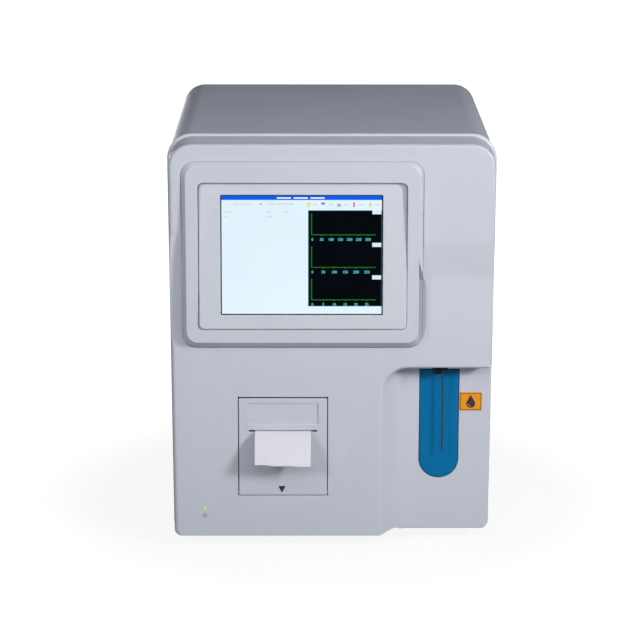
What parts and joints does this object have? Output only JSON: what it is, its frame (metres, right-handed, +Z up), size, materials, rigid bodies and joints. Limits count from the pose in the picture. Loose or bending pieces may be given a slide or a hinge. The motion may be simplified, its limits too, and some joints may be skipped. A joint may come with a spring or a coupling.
{
  "type": "hematology analyzer",
  "caption": "Benchtop blood cell analyzer with a tilted touch screen, a receipt printer behind a drop-down door and an open recess with a sampling needle and a press key.",
  "frame": {"origin": "middle of the footprint on the table, at the undersides of the feet", "axes": "+X to the right seen from the front, +Y from the front to the back, +Z up"},
  "size_m": [0.3298, 0.3884, 0.429],
  "materials": {
    "front_moulding": "fine satin, cool pale grey",
    "bezel": "smooth satin, lighter grey",
    "cover_paint": "powder coat, mid grey",
    "key": "semi-gloss blue",
    "orange_film": "printed film",
    "screen_glass": "glossy touch film over a lit display",
    "dark_plastic": "moulded black",
    "grey_plastic": "moulded grey",
    "rubber": "black rubber",
    "steel": "ground stainless",
    "zinc": "zinc plated sheet",
    "brass": "machined",
    "circuit_board": "solder mask",
    "thermal_paper": "smooth coated paper",
    "clear_plastic": "clear acrylic",
    "green_lens": "lit green lens"
  },
  "bodies": {
    "casing": {"front_shell": "front_moulding", "screen_surround": "front_moulding", "screen_bezel": "bezel", "top_cover": "cover_paint", "rear_panel": "cover_paint", "recess_label": "orange_film", "touch_panel": "screen_glass", "printer_tray": "dark_plastic", "aspirate_switch": "dark_plastic", "wash_block": "dark_plastic", "lift_motor": "dark_plastic", "valve_bank": "dark_plastic", "fan_frame": "dark_plastic", "power_entry": "dark_plastic", "roll_spindle": "grey_plastic", "pump_body": "grey_plastic", "foot_front_left": "rubber", "foot_front_right": "rubber", "foot_rear_left": "rubber", "foot_rear_right": "rubber", "lift_belt": "rubber", "side_screw_left_1": "steel", "side_screw_right_1": "steel", "side_screw_left_2": "steel", "side_screw_right_2": "steel", "printer_hinge_pin": "steel", "guide_rod_left": "steel", "guide_rod_right": "steel", "fluid_ports": "steel", "lcd_module": "zinc", "base_plate": "zinc", "print_mechanism": "zinc", "print_motor": "zinc", "key_bracket": "zinc", "probe_lift_frame": "zinc", "bath_bench": "zinc", "syringe_stand": "zinc", "power_supply": "zinc", "data_ports": "zinc", "main_board": "circuit_board", "paper_web": "thermal_paper", "white_cell_bath": "clear_plastic", "red_cell_bath": "clear_plastic", "syringe_barrel": "clear_plastic", "power_led": "green_lens"},
    "printer_door": {"printer_door": "front_moulding", "paper_tongue": "thermal_paper"},
    "platen": {"platen_roller": "rubber", "platen_gear": "grey_plastic"},
    "print_pinion": {"motor_pinion": "brass"},
    "paper_roll": {"paper_roll": "thermal_paper"},
    "aspirate_key": {"aspirate_key": "key"},
    "probe_carriage": {"probe_carriage": "grey_plastic", "sample_needle": "steel"},
    "drive_pulley": {"drive_pulley": "zinc"},
    "idler_pulley": {"idler_pulley": "zinc"},
    "syringe_plunger": {"syringe_plunger": "steel"},
    "pump_rotor": {"pump_rotor": "steel"},
    "fan_rotor": {"fan_rotor": "dark_plastic"},
    "power_rocker": {"power_rocker": "key"}
  },
  "joints": [
    {"name": "printer_door_hinge", "type": "hinge", "parent": "casing", "child": "printer_door", "pos_m": [-0.04945, -0.16365, 0.062], "axis": [1, 0, 0], "range_deg": [0, 85]},
    {"name": "platen_spin", "type": "hinge", "parent": "casing", "child": "platen", "pos_m": [-0.04945, -0.15015, 0.13285], "axis": [1, 0, 0], "continuous": true},
    {"name": "print_pinion_spin", "type": "hinge", "parent": "casing", "child": "print_pinion", "pos_m": [-0.015, -0.13912, 0.14147], "axis": [1, 0, 0], "continuous": true},
    {"name": "paper_roll_spin", "type": "hinge", "parent": "casing", "child": "paper_roll", "pos_m": [-0.04945, -0.12445, 0.09055], "axis": [1, 0, 0], "continuous": true},
    {"name": "aspirate_key_press", "type": "slide", "parent": "casing", "child": "aspirate_key", "axis": [0, 1, 0], "range_m": [0, 0.003], "stiffness_N_per_m": 300, "springref_m": -0.003},
    {"name": "probe_lift", "type": "slide", "parent": "casing", "child": "probe_carriage", "axis": [0, 0, 1], "range_m": [0, 0.08]},
    {"name": "drive_pulley_spin", "type": "hinge", "parent": "casing", "child": "drive_pulley", "pos_m": [0.113, -0.10815, 0.341], "axis": [0, 1, 0], "range_deg": [-20, 620]},
    {"name": "idler_pulley_spin", "type": "hinge", "parent": "casing", "child": "idler_pulley", "pos_m": [0.113, -0.10815, 0.218], "axis": [0, 1, 0], "range_deg": [-20, 620]},
    {"name": "syringe_stroke", "type": "slide", "parent": "casing", "child": "syringe_plunger", "axis": [0, 0, 1], "range_m": [0, 0.034]},
    {"name": "pump_spin", "type": "hinge", "parent": "casing", "child": "pump_rotor", "pos_m": [0.11, 0.08985, 0.0453], "axis": [0, 1, 0], "continuous": true},
    {"name": "fan_spin", "type": "hinge", "parent": "casing", "child": "fan_rotor", "pos_m": [-0.07, 0.16485, 0.333], "axis": [0, 1, 0], "continuous": true},
    {"name": "power_rocker_tilt", "type": "hinge", "parent": "casing", "child": "power_rocker", "pos_m": [-0.078, 0.17585, 0.085], "axis": [1, 0, 0], "range_deg": [0, 18]}
  ],
  "couplings": [
    {"joint": "platen_spin", "follows": "paper_roll_spin", "ratio": -5.3333},
    {"joint": "print_pinion_spin", "follows": "paper_roll_spin", "ratio": 9.6},
    {"joint": "drive_pulley_spin", "follows": "probe_lift", "rad_per_m": 126.58},
    {"joint": "idler_pulley_spin", "follows": "probe_lift", "rad_per_m": 126.58}
  ]
}
